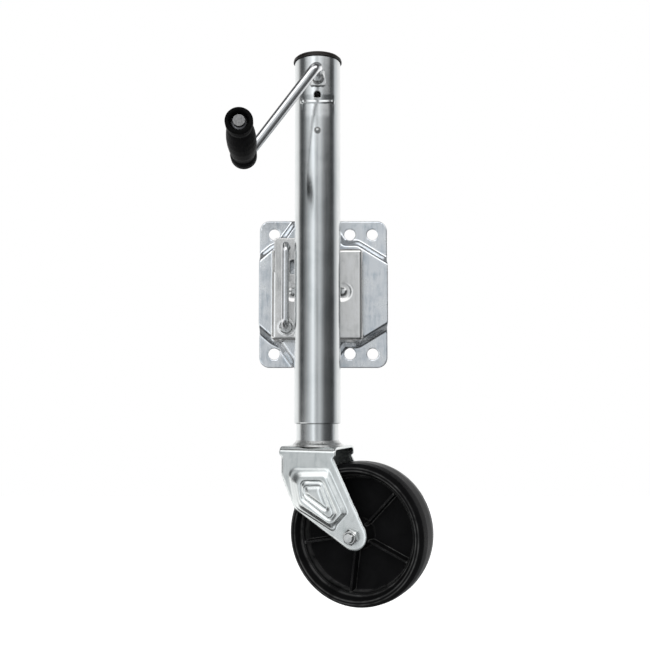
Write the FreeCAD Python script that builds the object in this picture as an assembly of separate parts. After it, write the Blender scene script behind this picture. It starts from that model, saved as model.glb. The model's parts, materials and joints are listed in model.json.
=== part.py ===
"""Swing-up trailer tongue jack: one STEP file per physical piece, in millimetres.

Frame: the origin is the centre of the four-bolt pattern on the back face of the
mounting plate.  Z is up, +Y points into the trailer tongue, -Y is the crank side.
The caster fork is drawn trailing along +X and then turned by CASTER_YAW.
"""
import math
import os

import FreeCAD
import Part

V = FreeCAD.Vector
X_AXIS = V(1, 0, 0)
Y_AXIS = V(0, 1, 0)
Z_AXIS = V(0, 0, 1)

# --- mounting plate -------------------------------------------------------
PLATE_W, PLATE_H, PLATE_T = 148.0, 171.0, 4.0
PLATE_CORNER_R = 12.0
EMBOSS_H = 12.0
EMBOSS_WALL = 7.0
BOLT_X, BOLT_Z, BOLT_R = 57.0, 69.5, 6.5
INNER_BOLT_X = 30.7
PIVOT_HOLE_R = 38.0
RAISED_FRONT = -(EMBOSS_H + PLATE_T)

# --- tube and its axis ----------------------------------------------------
TUBE_X, TUBE_Y = -6.4, -55.4
TUBE_R, TUBE_BORE_R = 25.4, 23.1
TUBE_BOTTOM, TUBE_TOP = -147.0, 255.1
CRIMP_Z = 204.8
CAP_R = 27.0
GREASE_Z = 170.7
VENT_Z, VENT_W, VENT_H = 207.5, 6.9, 6.6

# --- swivel bracket, hub and lock pin -------------------------------------
PAN_FRONT, PAN_T, PAN_BACK = -30.0, 3.0, -16.3
PAN_LEFT, PAN_RIGHT, PAN_LOW, PAN_HIGH = -60.4, 46.2, -56.6, 51.0
TAB_LEFT, TAB_RIGHT, TAB_TOP, TAB_FOOT = -55.6, -24.0, 61.2, 22.0
HUB_R, HUB_WALL, HUB_FLANGE_R = 37.95, 3.0, 46.0
HUB_BACK = -8.7
RIVET_OFFSET, RIVET_R, RIVET_HEAD_R = 28.0, 4.0, 5.2
PIN_X, PIN_LOW_Z, PIN_HIGH_Z = -42.2, -40.0, 50.8
PIN_R, PIN_TRAVEL, PIN_TIP = 4.0, 6.3, -16.5
PIN_BRIDGE_Y = -52.2

# --- head: crank, bevel gears, thrust bearing ------------------------------
SHAFT_Z, ROD_R, ROD_BEND_R = 228.1, 5.6, 8.0
ARM_PLANE_Y, ARM_LENGTH, ARM_DROP_DEG = -65.0, 125.9, 53.1
GRIP_LEAN_DEG = 4.4
GRIP_START, GRIP_LENGTH = 9.0, 106.0
PINION_TEETH, GEAR_TEETH = 12, 22
PINION_PITCH_R = 10.0
GEAR_PITCH_R = PINION_PITCH_R * GEAR_TEETH / PINION_TEETH
SCREW_R, SCREW_BOTTOM, SCREW_TOP = 8.0, -115.0, 219.0
PLATE_SEAT_LOW, PLATE_SEAT_HIGH = 198.0, 202.3
BALL_R, BALL_PITCH_R, BALL_COUNT, BALL_Z = 2.4, 13.0, 12, 193.15

# --- ram, fork and wheel ---------------------------------------------------
RAM_R, RAM_BORE_R = 23.05, 21.05
RAM_TOP, FORK_TOP = 172.0, -171.0
NUT_LOW, NUT_HIGH = 144.0, 168.0
FORK_HALF, FORK_T, FORK_BEND_R = 29.5, 3.0, 7.0
CASTER_YAW = 22.0
TRAIL, AXLE_Z, EAR_R = 50.3, -261.3, 15.0
WHEEL_R, WHEEL_HALF, WHEEL_SPOKES = 75.0, 24.5, 5
AXLE_R, SLEEVE_R, BOLT_REACH = 5.0, 7.0, 11.5

RUN = 0.05       # radial clearance of a running fit
GAP = 0.3        # gap between neighbouring pieces that move apart


# --- small building blocks --------------------------------------------------
def on_tube(x, y, z):
    """Point given from the tube axis, in the part frame."""
    return V(TUBE_X + x, TUBE_Y + y, z)


def rod(radius, start, end):
    """Solid cylinder between two points."""
    return Part.makeCylinder(radius, (end - start).Length, start, end - start)


def ring(r_out, r_in, start, end):
    """Cylinder with a bore between two points."""
    over = (end - start).normalize() * 0.5
    return rod(r_out, start, end).cut(rod(r_in, start - over, end + over))


def block(x0, x1, y0, y1, z0, z1):
    return Part.makeBox(x1 - x0, y1 - y0, z1 - z0, V(x0, y0, z0))


def rounded_wire(corners):
    """Closed wire through (point, corner radius) pairs."""
    cuts = []
    for i, (point, radius) in enumerate(corners):
        before = (corners[i - 1][0] - point).normalize()
        after = (corners[(i + 1) % len(corners)][0] - point).normalize()
        if radius <= 0:
            cuts.append((point, None, point))
            continue
        half = before.getAngle(after) / 2
        reach = radius / math.tan(half)
        middle = (before + after).normalize() * (radius / math.sin(half) - radius)
        cuts.append((point + before * reach, point + middle, point + after * reach))
    edges = []
    for i, (start, middle, end) in enumerate(cuts):
        if middle is not None:
            edges.append(Part.Arc(start, middle, end).toShape())
        following = cuts[(i + 1) % len(cuts)][0]
        if (following - end).Length > 1e-6:
            edges.append(Part.makeLine(end, following))
    return Part.Wire(edges)


def bent_rod(radius, points, bend_r):
    """Round bar swept along straight legs joined by bends."""
    edges = []
    start = points[0]
    for before, corner, after in zip(points, points[1:], points[2:]):
        back = (before - corner).normalize()
        ahead = (after - corner).normalize()
        half = back.getAngle(ahead) / 2
        reach = bend_r / math.tan(half)
        middle = corner + (back + ahead).normalize() * (bend_r / math.sin(half) - bend_r)
        edges.append(Part.makeLine(start, corner + back * reach))
        edges.append(Part.Arc(corner + back * reach, middle, corner + ahead * reach).toShape())
        start = corner + ahead * reach
    edges.append(Part.makeLine(start, points[-1]))
    section = Part.Wire(Part.makeCircle(radius, points[0], points[1] - points[0]))
    return Part.Wire(edges).makePipeShell([section], True, False)


def plate_prism(outline, y0, y1):
    """Extrude an (x, z, corner radius) outline between two Y planes."""
    wire = rounded_wire([(V(x, y0, z), r) for x, z, r in outline])
    return Part.Face(wire).extrude(V(0, y1 - y0, 0))


def turned(profile, base, axis):
    """Revolve an (r, distance along the axis) profile about an axis."""
    face = Part.Face(Part.makePolygon([V(r, 0, h) for r, h in profile + profile[:1]]))
    solid = face.revolve(V(0, 0, 0), Z_AXIS, 360)
    turn = FreeCAD.Rotation(Z_AXIS, axis)
    solid.Placement = FreeCAD.Placement(base, turn)
    return solid


def rect(x0, x1, z0, z1, r):
    return [(x0, z0, r), (x1, z0, r), (x1, z1, r), (x0, z1, r)]


def caster_place(shape):
    """Turn a caster piece from its drawing frame to the modelled yaw."""
    shape = shape.copy()
    shape.translate(V(TUBE_X, TUBE_Y, 0))
    shape.rotate(V(TUBE_X, TUBE_Y, 0), Z_AXIS, -CASTER_YAW)
    return shape


def save(name, shape):
    solids = shape.Solids
    result = solids[0] if len(solids) == 1 else Part.makeCompound(solids)
    result.exportStep(os.path.join("parts", name + ".step"))


# --- mounting plate ----------------------------------------------------------
def emboss_outline():
    """Middle of the pressed wall: a cross whose arms run off the plate edges."""
    top = [(-92.0, 25.8), (-60.0, 53.5), (-50.5, 58.5), (-19.2, 101.8),
           (-7.5, 101.8), (23.8, 58.5), (40.0, 58.5), (92.0, 26.8)]
    return top + [(x, -z) for x, z in reversed(top)]


def emboss_block(front, back, wall_shift):
    """Frustum of the pressed cross between two Y planes."""
    wires = []
    for y, grow in ((front, wall_shift - EMBOSS_WALL / 2), (back, wall_shift + EMBOSS_WALL / 2)):
        points = [V(x, y, z) for x, z in emboss_outline()]
        face = Part.Face(Part.makePolygon(points + points[:1]))
        wires.append(face.makeOffset2D(grow, 2).OuterWire)
    return Part.makeLoft(wires, True, True)


def mounting_plate():
    outline = rect(-PLATE_W / 2, PLATE_W / 2, -PLATE_H / 2, PLATE_H / 2, PLATE_CORNER_R)
    sheet = plate_prism(outline, -PLATE_T, 0)
    envelope = plate_prism(outline, RAISED_FRONT, 0)
    raised = emboss_block(RAISED_FRONT, -PLATE_T, 0).common(envelope)
    hollow = emboss_block(-EMBOSS_H, 0.0, -2.2)
    plate = sheet.fuse(raised).cut(hollow)
    for x, z in [(sx * BOLT_X, sz * BOLT_Z) for sx in (-1, 1) for sz in (-1, 1)]:
        plate = plate.cut(rod(BOLT_R, V(x, -30, z), V(x, 5, z)))
    for z in (-BOLT_Z, BOLT_Z):
        plate = plate.cut(rod(BOLT_R, V(INNER_BOLT_X, -30, z), V(INNER_BOLT_X, 5, z)))
    plate = plate.cut(rod(PIVOT_HOLE_R, V(TUBE_X, -30, 0), V(TUBE_X, 5, 0)))
    for quarter in range(4):
        hole = rod(PIN_R + 0.35, V(PIN_X, -30, PIN_LOW_Z), V(PIN_X, 5, PIN_LOW_Z))
        hole.rotate(V(TUBE_X, 0, 0), Y_AXIS, 90 * quarter)
        plate = plate.cut(hole)
    return plate.removeSplitter()


# --- swivel bracket and hub ----------------------------------------------------
def pan_box(inset, front, corner_r, edge_r):
    """Rounded tray block; the front edges are filleted."""
    outline = rect(PAN_LEFT + inset, PAN_RIGHT - inset, PAN_LOW + inset, PAN_HIGH - inset, corner_r)
    tray = plate_prism(outline, front, PAN_BACK)
    edges = [e for e in tray.Edges if abs(e.BoundBox.YMax - front) < 1e-6]
    return tray.makeFillet(edge_r, edges)


def swivel_bracket():
    pan = pan_box(0, PAN_FRONT, 5.0, 4.5).cut(pan_box(PAN_T, PAN_FRONT + PAN_T, 2.5, 1.5))
    pan = pan.cut(block(PAN_LEFT + PAN_T, TAB_LEFT, -31, -16, TAB_FOOT, 60))
    pan = pan.cut(block(TAB_LEFT, TAB_RIGHT, PAN_FRONT + PAN_T, -16, 40, 60))
    tab = plate_prism([(TAB_LEFT, 30, 0), (TAB_RIGHT, 30, 0), (TAB_RIGHT, TAB_TOP, 6),
                       (TAB_LEFT, TAB_TOP, 3)], PAN_FRONT, PAN_FRONT + PAN_T)
    pan = pan.fuse(tab)
    for x in (TUBE_X - RIVET_OFFSET, TUBE_X + RIVET_OFFSET):
        pan = pan.cut(rod(RIVET_R, V(x, -35, 0), V(x, -20, 0)))
    pan = pan.cut(rod(5.5, V(PIN_X, -35, PIN_LOW_Z), V(PIN_X, -20, PIN_LOW_Z)))
    pan = pan.cut(rod(PIN_R + 2 * RUN, V(PIN_X, -35, PIN_HIGH_Z), V(PIN_X, -20, PIN_HIGH_Z)))
    slot = plate_prism(rect(-38.0, -29.0, 20.0, 36.0, 2.0), -35, -20)
    relief = [rod(1.8, V(x, -32, PAN_LOW + 2.2), V(x, -12, PAN_LOW + 2.2)) for x in (-49.4, 34.4)]
    pan = pan.cut(slot.fuse(relief))
    return pan.removeSplitter()


def pivot_hub():
    """Pressed cup: its wall turns in the plate hole, its flange sits behind."""
    front = PAN_FRONT + PAN_T
    inner = HUB_R - HUB_WALL
    profile = [(12.0, front), (HUB_R, front), (HUB_R, HUB_BACK - HUB_WALL),
               (HUB_FLANGE_R, HUB_BACK - HUB_WALL), (HUB_FLANGE_R, HUB_BACK),
               (inner, HUB_BACK), (inner, front + HUB_WALL), (12.0, front + HUB_WALL)]
    hub = turned(profile, V(TUBE_X, 0, 0), Y_AXIS)
    for x in (TUBE_X - RIVET_OFFSET, TUBE_X + RIVET_OFFSET):
        hub = hub.cut(rod(RIVET_R, V(x, -30, 0), V(x, -20, 0)))
    return hub


def hub_rivets():
    back = PAN_FRONT + PAN_T + HUB_WALL
    rivets = []
    for x in (TUBE_X - RIVET_OFFSET, TUBE_X + RIVET_OFFSET):
        profile = [(0, PAN_FRONT - 2.4), (2.6, PAN_FRONT - 2.2), (4.6, PAN_FRONT - 1.1),
                   (RIVET_HEAD_R, PAN_FRONT), (RIVET_R, PAN_FRONT), (RIVET_R, back),
                   (RIVET_HEAD_R, back), (4.4, back + 1.6), (0, back + 2.2)]
        rivets.append(turned(profile, V(x, 0, 0), Y_AXIS))
    return Part.makeCompound(rivets)


def bracket_weld_beads():
    tube = rod(TUBE_R, on_tube(0, 0, -60), on_tube(0, 0, 60))
    beads = []
    for side in (-1, 1):
        inner, outer = sorted((TUBE_X + side * 7.0, TUBE_X + side * 13.0))
        bead = block(inner, outer, PAN_FRONT - 4.4, PAN_FRONT, -46, 44)
        beads.append(bead.cut(tube))
    return Part.makeCompound(beads)


def lock_pin_collar():
    return turned([(PIN_R + RUN, -31.6), (6.4, -31.6), (7.2, -30.8), (7.2, PAN_FRONT),
                   (5.5, PAN_FRONT), (5.5, -26.0), (PIN_R + RUN, -26.0)],
                  V(PIN_X, 0, PIN_LOW_Z), Y_AXIS)


# --- pull pin ---------------------------------------------------------------------
def pull_pin():
    points = [V(PIN_X, PIN_TIP, PIN_LOW_Z), V(PIN_X, PIN_BRIDGE_Y, PIN_LOW_Z),
              V(PIN_X, PIN_BRIDGE_Y, PIN_HIGH_Z), V(PIN_X, -22.8, PIN_HIGH_Z)]
    pin = bent_rod(PIN_R, points, 9.0)
    tips = [e for e in pin.Edges if e.BoundBox.YLength < 1e-6 and e.BoundBox.YMax > -25]
    return pin.makeChamfer(1.0, tips)


def pin_retaining_washer():
    return ring(7.5, PIN_R, V(PIN_X, -24, PIN_LOW_Z), V(PIN_X, -23, PIN_LOW_Z))


def pin_spring():
    coil_r, wire_r = 6.4, 0.4
    path = Part.makeLongHelix(1.0, 2.0, coil_r)
    section = Part.Wire(Part.makeCircle(wire_r, V(coil_r, 0, 0), Y_AXIS))
    coil = Part.Wire(path).makePipeShell([section], True, True)
    coil.Placement = FreeCAD.Placement(V(PIN_X, -26.45, PIN_LOW_Z), FreeCAD.Rotation(Z_AXIS, Y_AXIS))
    return coil


# --- outer tube and head fittings ----------------------------------------------------
def wedge_ring(major, minor, z, half_angle):
    """Part of a torus around the tube axis, centred on the crank side."""
    start = on_tube(0, 0, z)
    arc = Part.makeTorus(major, minor, start, Z_AXIS, 0, 360, 2 * half_angle)
    arc.rotate(start, Z_AXIS, -90 - half_angle)
    return arc


def outer_tube():
    tube = ring(TUBE_R, TUBE_BORE_R, on_tube(0, 0, TUBE_BOTTOM), on_tube(0, 0, TUBE_TOP))
    tube = tube.cut(wedge_ring(TUBE_R + 1.3, 2.5, CRIMP_Z, 47))
    bulge = wedge_ring(TUBE_BORE_R + 1.3, 2.45, CRIMP_Z, 45)
    inside = rod(TUBE_BORE_R + 0.2, on_tube(0, 0, CRIMP_Z - 5), on_tube(0, 0, CRIMP_Z + 5))
    tube = tube.fuse(bulge.common(inside))
    tube = tube.cut(rod(8.0, on_tube(0, -30, SHAFT_Z), on_tube(0, 0, SHAFT_Z)))
    tube = tube.cut(rod(7.5, on_tube(0, 0, SHAFT_Z), on_tube(0, 30, SHAFT_Z)))
    tube = tube.cut(rod(2.2, on_tube(0, -30, GREASE_Z), on_tube(0, 0, GREASE_Z)))
    half = VENT_W / 2
    vent = plate_prism([(TUBE_X - half, VENT_Z, 0), (TUBE_X + half, VENT_Z, 0),
                        (TUBE_X + half, VENT_Z + VENT_H, half - 0.05),
                        (TUBE_X - half, VENT_Z + VENT_H, half - 0.05)],
                       TUBE_Y - 30, TUBE_Y)
    return tube.cut(vent).removeSplitter()


def top_cap():
    """Domed push-in cap: a rim over the tube end and a hollow skirt inside it."""
    top, skirt = TUBE_TOP, TUBE_BORE_R - 2.2
    profile = [(0, top + 6.2), (16.0, top + 5.8), (24.2, top + 4.2), (CAP_R - 0.6, top + 2.2),
               (CAP_R, top + 0.4), (CAP_R, top - 0.8), (CAP_R - 0.7, top - 1.2), (TUBE_R, top),
               (TUBE_BORE_R, top), (TUBE_BORE_R - 0.2, top - 8), (skirt, top - 8), (skirt, top + 3.2),
               (0, top + 3.2)]
    return turned(profile, on_tube(0, 0, 0), Z_AXIS)


def crank_bushing_front():
    flange = block(TUBE_X - 8.5, TUBE_X + 8.5, TUBE_Y - 28.6, TUBE_Y - 22,
                   SHAFT_Z - 8.5, SHAFT_Z + 8.5)
    flange = flange.cut(rod(TUBE_R, on_tube(0, 0, 210), on_tube(0, 0, 245)))
    body = rod(8.0, on_tube(0, -28.6, SHAFT_Z), on_tube(0, -20, SHAFT_Z))
    bore = rod(ROD_R + RUN, on_tube(0, -30, SHAFT_Z), on_tube(0, -18, SHAFT_Z))
    return flange.fuse(body).cut(bore).removeSplitter()


def crank_bushing_rear():
    flange = rod(10.0, on_tube(0, 22, SHAFT_Z), on_tube(0, 28, SHAFT_Z))
    flange = flange.cut(rod(TUBE_R, on_tube(0, 0, 210), on_tube(0, 0, 245)))
    body = rod(7.5, on_tube(0, 19, SHAFT_Z), on_tube(0, 28, SHAFT_Z))
    bore = rod(ROD_R + RUN, on_tube(0, 18, SHAFT_Z), on_tube(0, 30, SHAFT_Z))
    return flange.fuse(body).cut(bore).removeSplitter()


def thrust_plate():
    return ring(TUBE_BORE_R, SCREW_R + 0.08, on_tube(0, 0, PLATE_SEAT_LOW),
                on_tube(0, 0, PLATE_SEAT_HIGH))


def thrust_race_upper():
    return ring(17.0, SCREW_R + GAP, on_tube(0, 0, 195.6), on_tube(0, 0, PLATE_SEAT_LOW))


def grease_fitting():
    profile = [(0, 24.0), (2.2, 24.0), (2.2, TUBE_R), (3.7, TUBE_R), (3.7, 26.6),
               (3.1, 27.2), (1.5, 27.2), (1.2, 27.7), (0, 27.9)]
    return turned(profile, on_tube(0, 0, GREASE_Z), -Y_AXIS).cut(
        rod(TUBE_BORE_R + 0.3, on_tube(0, 0, 160), on_tube(0, 0, 180)))


# --- crank -----------------------------------------------------------------------------
def arm_direction():
    drop = math.radians(ARM_DROP_DEG)
    return V(-math.cos(drop), 0, -math.sin(drop))


def grip_direction():
    lean = math.radians(GRIP_LEAN_DEG)
    return arm_direction() * -math.sin(lean) + V(0, -math.cos(lean), 0)


def grip_corner():
    return on_tube(0, ARM_PLANE_Y, SHAFT_Z) + arm_direction() * ARM_LENGTH


def crank_rod():
    end = grip_corner() + grip_direction() * (GRIP_START + GRIP_LENGTH - 1.0)
    bar = bent_rod(ROD_R, [on_tube(0, 33, SHAFT_Z), on_tube(0, ARM_PLANE_Y, SHAFT_Z),
                           grip_corner(), end], ROD_BEND_R)
    groove = ring(8.0, 4.4, on_tube(0, 28.6, SHAFT_Z), on_tube(0, 29.8, SHAFT_Z))
    pin_hole = rod(1.5, on_tube(-12, -9.8, SHAFT_Z), on_tube(12, -9.8, SHAFT_Z))
    return bar.cut(groove).cut(pin_hole)


def crank_retaining_clip():
    clip = ring(8.6, 4.4, on_tube(0, 28.6, SHAFT_Z), on_tube(0, 29.8, SHAFT_Z))
    mouth = block(TUBE_X - 3.4, TUBE_X + 3.4, TUBE_Y + 28, TUBE_Y + 31, SHAFT_Z - 10, SHAFT_Z - 2)
    return clip.cut(mouth)


def grip_push_nut():
    """Push-on retainer on the rod, at the bottom of the grip's recess."""
    base = grip_corner() + grip_direction() * (GRIP_START + GRIP_LENGTH - 7.4)
    profile = [(ROD_R, 0), (8.2, 0), (8.2, 0.8), (7.0, 1.6), (ROD_R, 2.2)]
    return turned(profile, base, grip_direction())


def crank_grip():
    """Barrel grip with a collar at each end and a recess round the rod's end."""
    bore, length = ROD_R + RUN, GRIP_LENGTH
    profile = [(bore, 0), (12.4, 0), (13.5, 1.6), (13.7, 9), (13.3, 13), (12.5, 16.5),
               (12.8, 21), (13.9, 31), (14.6, 45), (14.6, 58), (14.0, 70), (12.7, 84),
               (11.9, 90), (12.5, 94), (13.0, 97), (13.1, length - 2.4), (12.4, length - 0.7),
               (11.0, length), (9.8, length - 0.6), (9.2, length - 2), (8.8, length - 8), (bore, length - 8)]
    return turned(profile, grip_corner() + grip_direction() * GRIP_START, grip_direction())


# --- bevel gears --------------------------------------------------------------------------
def bevel_teeth(count, pitch_r, mate_r, phase_deg):
    """Straight tapered teeth; the apex is the origin, the gear lies below it."""
    reach = math.hypot(pitch_r, mate_r)
    normal = (mate_r / reach, pitch_r / reach)
    module = 2 * pitch_r / count
    sides = [(-0.9 * module, 1.5), (0.0, 0.98), (0.6 * module, 0.58)]
    outline = [(h, -w) for h, w in sides] + [(h, w) for h, w in reversed(sides)]
    teeth = []
    for k in range(count):
        angle = math.radians(phase_deg + 360.0 * k / count)
        outward = V(math.cos(angle), math.sin(angle), 0)
        sideways = V(-math.sin(angle), math.cos(angle), 0)
        points = [outward * (pitch_r + h * normal[0]) + sideways * w
                  + V(0, 0, -mate_r + h * normal[1]) for h, w in outline]
        loops = [[p * scale for p in points] for scale in (1.0, 0.72)]
        wires = [Part.makePolygon(loop + loop[:1]) for loop in loops]
        teeth.append(Part.makeLoft(wires, True, True))
    return teeth


def bevel_gear():
    body = turned([(SCREW_R, -9.6), (12.4, -9.6), (12.75, -8.02), (17.7, -11.14), (17.7, -15.0),
                   (12.0, -15.0), (12.0, PLATE_SEAT_HIGH + GAP - SHAFT_Z),
                   (SCREW_R, PLATE_SEAT_HIGH + GAP - SHAFT_Z)], V(0, 0, 0), Z_AXIS)
    gear = body.fuse(bevel_teeth(GEAR_TEETH, GEAR_PITCH_R, PINION_PITCH_R, -90.0))
    gear.translate(on_tube(0, 0, SHAFT_Z))
    pin = rod(1.5, on_tube(-12.5, 0, 208.5), on_tube(12.5, 0, 208.5))
    return gear.cut(pin).removeSplitter()


def bevel_pinion():
    body = turned([(ROD_R, -19.6), (8.86, -19.6), (8.86, -18.95), (6.38, -13.65), (6.38, -12.6),
                   (8.0, -12.6), (8.0, -7.0), (ROD_R, -7.0)], V(0, 0, 0), Z_AXIS)
    half_step = 180.0 / PINION_TEETH
    pinion = body.fuse(bevel_teeth(PINION_TEETH, PINION_PITCH_R, GEAR_PITCH_R, -90.0 + half_step))
    pinion.rotate(V(0, 0, 0), X_AXIS, -90)
    pinion.translate(on_tube(0, 0, SHAFT_Z))
    pin = rod(1.5, on_tube(-12, -9.8, SHAFT_Z), on_tube(12, -9.8, SHAFT_Z))
    return pinion.cut(pin).removeSplitter()


def pinion_roll_pin():
    return rod(1.5, on_tube(-8, -9.8, SHAFT_Z), on_tube(8, -9.8, SHAFT_Z))


def gear_roll_pin():
    return rod(1.5, on_tube(-12, 0, 208.5), on_tube(12, 0, 208.5))


# --- lead screw and thrust bearing ------------------------------------------------------------
def lead_screw():
    profile = [(0, SCREW_BOTTOM), (6.5, SCREW_BOTTOM), (SCREW_R, SCREW_BOTTOM + 1.5),
               (SCREW_R, 184.0), (14.0, 184.0), (14.0, 188.25), (SCREW_R, 188.25),
               (SCREW_R, SCREW_TOP), (0, SCREW_TOP)]
    screw = turned(profile, on_tube(0, 0, 0), Z_AXIS)
    return screw.cut(rod(1.5, on_tube(-12, 0, 208.5), on_tube(12, 0, 208.5)))


def thrust_race_lower():
    return ring(17.0, SCREW_R, on_tube(0, 0, 188.25), on_tube(0, 0, BALL_Z - BALL_R))


def thrust_bearing_balls():
    balls = []
    for k in range(BALL_COUNT):
        turn = 2 * math.pi * k / BALL_COUNT
        centre = on_tube(BALL_PITCH_R * math.cos(turn), BALL_PITCH_R * math.sin(turn), BALL_Z)
        balls.append(Part.makeSphere(BALL_R, centre))
    return Part.makeCompound(balls)


def drive_nut():
    return ring(RAM_BORE_R - RUN, SCREW_R + RUN, on_tube(0, 0, NUT_LOW), on_tube(0, 0, NUT_HIGH))


# --- ram and caster ---------------------------------------------------------------------------------
def ram_tube():
    return ring(RAM_R, RAM_BORE_R, on_tube(0, 0, FORK_TOP), on_tube(0, 0, RAM_TOP))


def nut_seat_ring():
    return ring(RAM_BORE_R, 14.0, on_tube(0, 0, NUT_LOW - GAP - 4), on_tube(0, 0, NUT_LOW - GAP))


def nut_snap_ring():
    snap = ring(RAM_BORE_R, 17.2, on_tube(0, 0, NUT_HIGH + GAP), on_tube(0, 0, NUT_HIGH + GAP + 2))
    return snap.cut(block(TUBE_X - 4, TUBE_X + 4, TUBE_Y - 25, TUBE_Y, 160, 180))


def ram_weld_bead():
    return turned([(RAM_R, FORK_TOP), (27.6, FORK_TOP), (26.6, FORK_TOP + 1.8),
                   (24.6, FORK_TOP + 3.6), (RAM_R, FORK_TOP + 6.2)], on_tube(0, 0, 0), Z_AXIS)


def cheek_outline():
    """Side view of the fork: (along the trail, height, corner radius).

    The last sharp corner is where the two edges of the ear would meet.
    """
    return [(31.5, FORK_TOP, 0), (-32.4, FORK_TOP, 0), (-32.4, FORK_TOP - 8.5, 1.0),
            (-30.2, FORK_TOP - 10.0, 1.0), (-30.2, -202.5, 18.0), (-15.0, -236.8, 12.0),
            (89.0, -303.4, EAR_R), (29.6, FORK_TOP - 10.5, 1.0), (31.5, FORK_TOP - 8.5, 1.0)]


def cheek_pad(corners, depth, side):
    """Raised area of the pressing on one cheek."""
    return plate_prism(corners, side * (FORK_HALF - 0.5), side * (FORK_HALF + depth))


def caster_fork():
    solid = plate_prism(cheek_outline(), -FORK_HALF, FORK_HALF)
    rim = [e for e in solid.Edges if e.BoundBox.ZMin > FORK_TOP - 1e-6]
    solid = solid.makeFillet(FORK_BEND_R, [e for e in rim if e.BoundBox.XLength > 40])
    half = FORK_HALF - FORK_T
    inside = block(-60, 90, -half, half, -300, FORK_TOP - FORK_T)
    corner = [e for e in inside.Edges if e.BoundBox.ZMin > -180 and e.BoundBox.XLength > 40]
    fork = solid.cut(inside.makeFillet(FORK_BEND_R - FORK_T, corner))
    outer = [(-22.5, -193.0, 8), (24.5, -191.5, 5), (46.8, -236.5, 3), (35.0, -249.5, 5),
             (31.5, -258.5, 4), (-14.0, -234.5, 12)]
    ridge = [(-12.5, -199.6, 5), (21.8, -198.6, 4), (40.6, -234.8, 4), (29.3, -246.6, 4),
             (-6.5, -226.5, 9)]
    pocket = [(-1.2, -210.8, 2.5), (15.8, -209.3, 3), (25.9, -235.0, 2), (-1.2, -217.6, 2.5)]
    for side in (-1, 1):
        fork = fork.fuse([cheek_pad(outer, 1.0, side), cheek_pad(ridge, 3.4, side)])
        hollow = plate_prism(pocket, side * (FORK_HALF + 2.0), side * (FORK_HALF + 5))
        fork = fork.cut(hollow)
    axle = rod(AXLE_R + RUN, V(TRAIL, -40, AXLE_Z), V(TRAIL, 40, AXLE_Z))
    return caster_place(fork.cut(axle).removeSplitter())


def hex_prism(across_flats, y0, y1):
    radius = across_flats / math.sqrt(3)
    points = [V(TRAIL + radius * math.cos(math.radians(60 * k + 12)), y0,
                AXLE_Z + radius * math.sin(math.radians(60 * k + 12))) for k in range(6)]
    return Part.Face(Part.makePolygon(points + points[:1])).extrude(V(0, y1 - y0, 0))


def axle_bolt():
    bolt = rod(AXLE_R, V(TRAIL, -FORK_HALF - BOLT_REACH, AXLE_Z), V(TRAIL, FORK_HALF + 1, AXLE_Z))
    tip = [e for e in bolt.Edges if e.BoundBox.YMax < -FORK_HALF - 9]
    bolt = bolt.makeChamfer(0.8, tip)
    head = hex_prism(16.0, FORK_HALF, FORK_HALF + 6.4)
    return caster_place(bolt.fuse(head).removeSplitter())


def axle_nut():
    nut = hex_prism(16.0, -FORK_HALF - 5.8, -FORK_HALF)
    crown = ring(7.2, AXLE_R, V(TRAIL, -FORK_HALF - 8, AXLE_Z), V(TRAIL, -FORK_HALF - 5.8, AXLE_Z))
    bore = rod(AXLE_R, V(TRAIL, -FORK_HALF - 9, AXLE_Z), V(TRAIL, -FORK_HALF + 1, AXLE_Z))
    return caster_place(nut.cut(bore).fuse(crown).removeSplitter())


def axle_sleeve():
    half = FORK_HALF - FORK_T
    return caster_place(ring(SLEEVE_R, AXLE_R + RUN, V(TRAIL, -half, AXLE_Z), V(TRAIL, half, AXLE_Z)))


def wheel():
    """Moulded wheel: crowned tread, open dished sides with ribs, long hub."""
    hub_half = FORK_HALF - FORK_T - 0.5
    half = [(WHEEL_R, 0), (74.8, 12.2), (73.6, 18.4), (71.6, 22.5), (68.8, WHEEL_HALF),
            (66.6, WHEEL_HALF), (65.6, WHEEL_HALF - 0.9), (61.6, 15.0), (60.4, 14.4), (58.8, 2.6),
            (16.0, 2.6), (14.0, 13.0), (13.0, hub_half), (SLEEVE_R + RUN, hub_half)]
    profile = half + [(r, -h) for r, h in reversed(half[1:])]
    solid = turned(profile, V(TRAIL, 0, AXLE_Z), Y_AXIS)
    for k in range(WHEEL_SPOKES):
        rib = block(TRAIL + 12.5, TRAIL + 60.5, -15, 15, AXLE_Z - 1.6, AXLE_Z + 1.6)
        rib.rotate(V(TRAIL, 0, AXLE_Z), Y_AXIS, -47.2 + 72.0 * k)
        solid = solid.fuse(rib)
    return caster_place(solid.removeSplitter())


PIECES = [mounting_plate, swivel_bracket, pivot_hub, hub_rivets, bracket_weld_beads,
          lock_pin_collar, pull_pin, pin_retaining_washer, pin_spring, outer_tube, top_cap,
          crank_bushing_front, crank_bushing_rear, thrust_plate, thrust_race_upper,
          grease_fitting, crank_rod, crank_retaining_clip, grip_push_nut, crank_grip,
          bevel_gear, bevel_pinion, pinion_roll_pin, gear_roll_pin, lead_screw,
          thrust_race_lower, thrust_bearing_balls, drive_nut, ram_tube, nut_seat_ring,
          nut_snap_ring, ram_weld_bead, caster_fork, axle_bolt, axle_nut, axle_sleeve, wheel]


def main():
    os.makedirs("parts", exist_ok=True)
    for piece in PIECES:
        save(piece.__name__, piece())


main()
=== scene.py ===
"""Looks of the swing-up trailer tongue jack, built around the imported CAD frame."""
import json
import math

import bmesh
import bpy
import numpy as np
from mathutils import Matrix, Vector, geometry


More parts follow.
